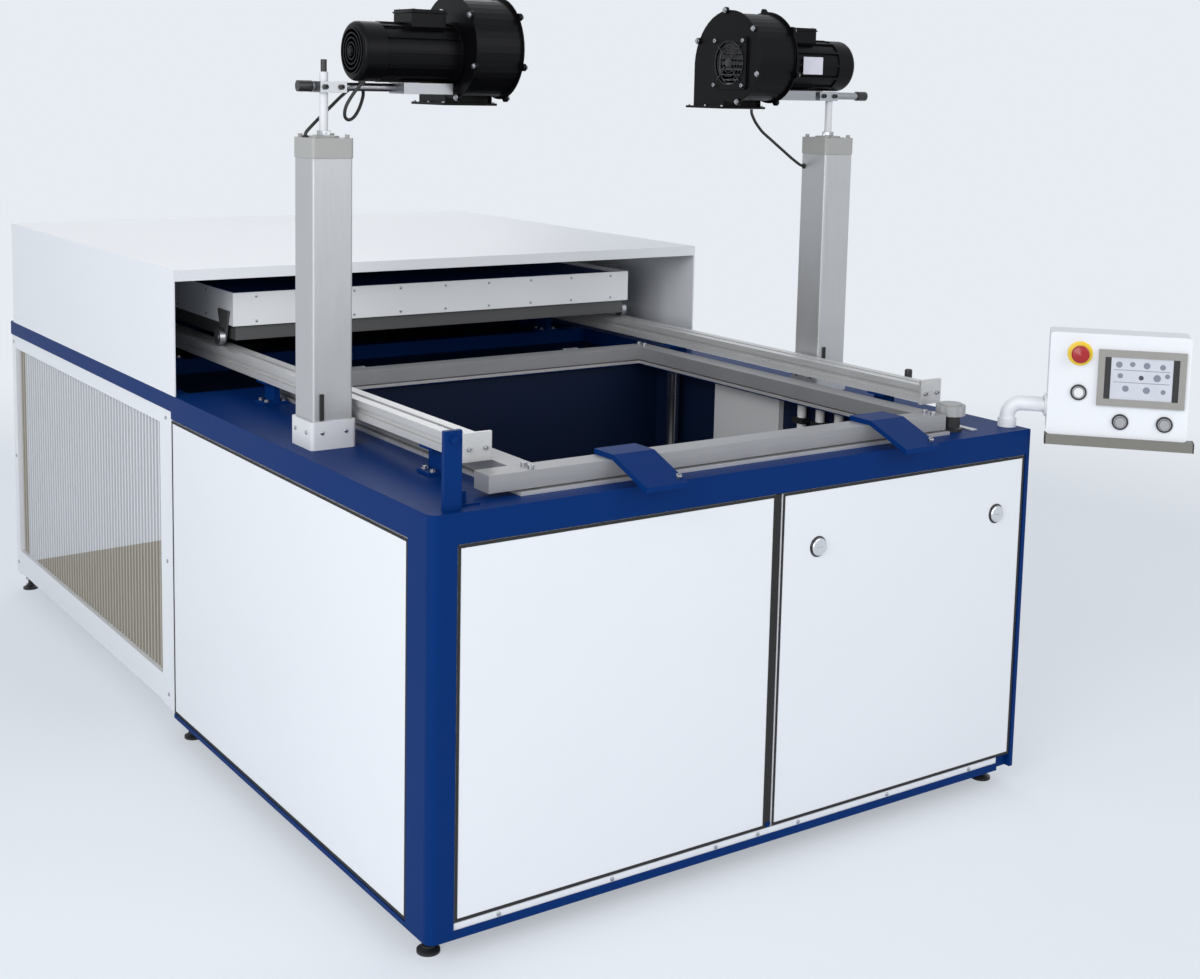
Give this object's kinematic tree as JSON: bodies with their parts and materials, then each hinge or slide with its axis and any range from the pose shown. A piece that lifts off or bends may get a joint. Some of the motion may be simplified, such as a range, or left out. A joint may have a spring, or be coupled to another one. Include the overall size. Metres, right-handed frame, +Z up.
{
  "type": "vacuum forming machine",
  "caption": "Large single-station vacuum forming machine: sheet clamp over a lifting table, sliding heater under a hood, cooling fans on posts, swivelling control panel.",
  "frame": {"origin": "on the floor under the middle of the whole outline, control panel and cable gland included", "axes": "+X to the operator's right facing the machine, +Y from the front towards the heater hood, +Z up"},
  "size_m": [2.0382, 3.3266, 2.013],
  "materials": {
    "blue_paint": "gloss royal blue paint",
    "navy_paint": "satin navy paint",
    "white_paint": "satin white paint",
    "guard_paint": "satin beige paint",
    "zinc": "bright zinc plate",
    "steel": "turned steel",
    "chromed": "hard chrome",
    "aluminium": "natural anodised",
    "black_paint": "gloss black enamel",
    "black_plastic": "fine-grained black plastic",
    "grey_plastic": "semi-gloss grey plastic",
    "white_plastic": "semi-gloss white plastic",
    "red_plastic": "semi-gloss red plastic",
    "cable": "black cable sheath",
    "feet": "black oxide and rubber",
    "slate": "satin slate-grey paint",
    "quartz": "white quartz tube"
  },
  "bodies": {
    "machine": {"front_frame": "blue_paint", "table_deck": "blue_paint", "rear_frame": "white_paint", "side_guard_left": "guard_paint", "side_guard_right": "guard_paint", "body_panels": "white_paint", "front_panel": "white_paint", "levelling_feet": "feet", "heater_hood": "white_paint", "heater_rails": "aluminium", "rail_brackets": "blue_paint", "lower_frame": "zinc", "well_walls": "navy_paint", "heat_shield": "navy_paint", "guide_columns": "chromed", "lift_cylinder": "aluminium", "vacuum_unit": "slate", "electrical_cabinet": "zinc", "fan_posts": "aluminium", "post_fittings": "white_paint", "corner_upright": "blue_paint", "arm_base": "white_paint", "regulator_body": "black_plastic", "clamp_hinges": "steel", "fan_lead_right": "cable"},
    "door": {"front_door": "white_paint"},
    "latch_left": {"door_latch_left": "chromed"},
    "latch_right": {"door_latch_right": "chromed"},
    "clamp": {"clamp_frame": "zinc", "clamp_arms": "blue_paint"},
    "heater": {"heater_case": "white_paint", "heater_top": "navy_paint", "heater_chassis": "zinc", "heater_elements": "quartz"},
    "rollers_front": {"heater_rollers_front": "steel"},
    "rollers_rear": {"heater_rollers_rear": "steel"},
    "platen": {"forming_platen": "black_paint", "platen_carriage": "slate", "lift_rod": "chromed"},
    "fan_left": {"cross_clamp_left": "steel", "fan_hanger_left": "steel", "fan_scroll_left": "black_paint", "fan_motor_left": "black_paint", "fan_lead_left": "cable"},
    "fan_right": {"cross_clamp_right": "steel", "fan_hanger_right": "steel", "fan_scroll_right": "black_paint", "fan_motor_right": "black_paint"},
    "impeller_left": {"fan_impeller_left": "zinc"},
    "impeller_right": {"fan_impeller_right": "zinc"},
    "control": {"control_arm": "white_paint", "control_box": "white_paint", "touch_screen": "grey_plastic", "button_rings": "black_plastic"},
    "stop": {"stop_button": "red_plastic"},
    "start": {"start_button": "white_plastic"},
    "button_left": {"panel_button_left": "grey_plastic"},
    "button_right": {"panel_button_right": "grey_plastic"},
    "regulator_cap": {"regulator_knob": "grey_plastic"},
    "rail_clamp": {"rail_knob": "black_plastic"}
  },
  "joints": [
    {"name": "door_hinge", "type": "hinge", "parent": "machine", "child": "door", "pos_m": [0.3, -1.341, 0.091], "axis": [1, 0, 0], "range_deg": [0, 85]},
    {"name": "latch_left_turn", "type": "hinge", "parent": "door", "child": "latch_left", "pos_m": [0.006, -1.341, 0.743], "axis": [0, -1, 0], "range_deg": [0, 90]},
    {"name": "latch_right_turn", "type": "hinge", "parent": "door", "child": "latch_right", "pos_m": [0.606, -1.341, 0.743], "axis": [0, -1, 0], "range_deg": [0, 90]},
    {"name": "clamp_hinge", "type": "hinge", "parent": "machine", "child": "clamp", "pos_m": [-0.15, 0.022, 0.986], "axis": [-1, 0, 0], "range_deg": [0, 30]},
    {"name": "heater_slide", "type": "slide", "parent": "machine", "child": "heater", "axis": [0, 1, 0], "range_m": [-1.33, 0]},
    {"name": "rollers_front_turn", "type": "hinge", "parent": "heater", "child": "rollers_front", "pos_m": [-0.15, 0.214, 1.079], "axis": [1, 0, 0], "range_deg": [0, 3300]},
    {"name": "rollers_rear_turn", "type": "hinge", "parent": "heater", "child": "rollers_rear", "pos_m": [-0.15, 1.374, 1.079], "axis": [1, 0, 0], "range_deg": [0, 3300]},
    {"name": "platen_lift", "type": "slide", "parent": "machine", "child": "platen", "axis": [0, 0, 1], "range_m": [0, 0.29]},
    {"name": "fan_left_swivel", "type": "hinge", "parent": "machine", "child": "fan_left", "pos_m": [-0.922, -0.649, 1.782], "axis": [0, 0, 1], "range_deg": [-20, 20]},
    {"name": "fan_right_swivel", "type": "hinge", "parent": "machine", "child": "fan_right", "pos_m": [0.622, -0.649, 1.782], "axis": [0, 0, 1], "range_deg": [-20, 20]},
    {"name": "impeller_left_spin", "type": "hinge", "parent": "fan_left", "child": "impeller_left", "pos_m": [-0.526, -0.649, 1.864], "axis": [1, 0, 0], "continuous": true},
    {"name": "impeller_right_spin", "type": "hinge", "parent": "fan_right", "child": "impeller_right", "pos_m": [0.33, -0.649, 1.864], "axis": [1, 0, 0], "continuous": true},
    {"name": "control_swivel", "type": "hinge", "parent": "machine", "child": "control", "pos_m": [0.694, -1.291, 1], "axis": [0, 0, 1], "range_deg": [-45, 45]},
    {"name": "stop_press", "type": "slide", "parent": "control", "child": "stop", "axis": [0.7431, 0.6691, 0], "range_m": [0, 0.005], "stiffness_N_per_m": 400, "springref_m": -0.001},
    {"name": "start_press", "type": "slide", "parent": "control", "child": "start", "axis": [0.7431, 0.6691, 0], "range_m": [0, 0.0035], "stiffness_N_per_m": 400, "springref_m": -0.001},
    {"name": "button_left_press", "type": "slide", "parent": "control", "child": "button_left", "axis": [0.7431, 0.6691, 0], "range_m": [0, 0.0035], "stiffness_N_per_m": 400, "springref_m": -0.001},
    {"name": "button_right_press", "type": "slide", "parent": "control", "child": "button_right", "axis": [0.7431, 0.6691, 0], "range_m": [0, 0.0035], "stiffness_N_per_m": 400, "springref_m": -0.001},
    {"name": "regulator_turn", "type": "hinge", "parent": "machine", "child": "regulator_cap", "pos_m": [0.521, -1.257, 1], "axis": [0, 0, 1], "range_deg": [0, 270]},
    {"name": "rail_clamp_turn", "type": "hinge", "parent": "machine", "child": "rail_clamp", "pos_m": [0.577, -1.049, 1.03], "axis": [0, 0, 1], "range_deg": [0, 180]}
  ],
  "couplings": [
    {"joint": "rollers_front_turn", "follows": "heater_slide", "rad_per_m": -42.194},
    {"joint": "rollers_rear_turn", "follows": "heater_slide", "rad_per_m": -42.194}
  ]
}
